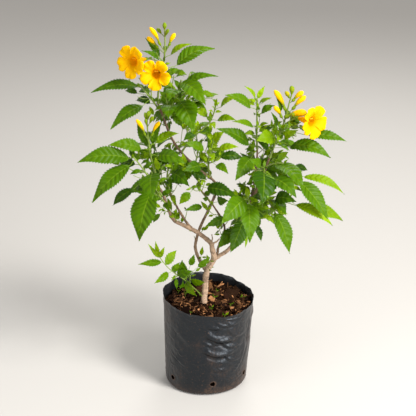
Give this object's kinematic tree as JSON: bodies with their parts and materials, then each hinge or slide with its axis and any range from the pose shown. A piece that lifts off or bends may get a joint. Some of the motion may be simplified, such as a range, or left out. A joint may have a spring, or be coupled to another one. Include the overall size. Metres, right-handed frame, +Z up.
{
  "type": "potted yellow bells",
  "caption": "Young flowering shrub with forked woody stems, opposite toothed leaves and yellow trumpet flowers, growing in a soft black nursery bag filled with bark mix.",
  "frame": {"origin": "middle of the flat underside of the nursery bag", "axes": "+Z up along the trunk, +X to the right and +Y away from a viewer who sees the plant as in the picture"},
  "size_m": [0.399, 0.2364, 0.587],
  "materials": {
    "film": "thin flexible black film with a soft sheen",
    "soil": "moist dark bark mix",
    "bark": "smooth tan bark with small raised pores",
    "leaf": "slightly glossy green leaf",
    "flower": "soft yellow petal"
  },
  "bodies": {
    "root": {"bag": "film", "soil": "soil", "trunk": "bark", "left_bough": "bark", "right_bough": "bark", "left_stem": "bark", "leader": "bark", "middle_stem": "bark", "left_side_bough": "bark", "right_inner_bough": "bark", "dead_stub": "bark", "short_twig": "bark", "top_flower_shoot": "leaf", "upper_right_shoot": "leaf", "upper_left_shoot": "leaf", "left_flower_shoot": "leaf", "left_outer_shoot": "leaf", "left_low_shoot": "leaf", "left_inner_shoot": "leaf", "centre_shoot": "leaf", "centre_top_shoot": "leaf", "middle_shoot": "leaf", "centre_right_shoot": "leaf", "right_flower_shoot": "leaf", "right_outer_shoot": "leaf", "right_low_shoot": "leaf", "right_front_shoot": "leaf", "lower_centre_shoot": "leaf", "basal_shoot": "leaf", "back_top_shoot": "leaf", "back_middle_shoot": "leaf", "back_left_shoot": "leaf", "back_right_shoot": "leaf", "back_low_shoot": "leaf"}
  },
  "joints": []
}
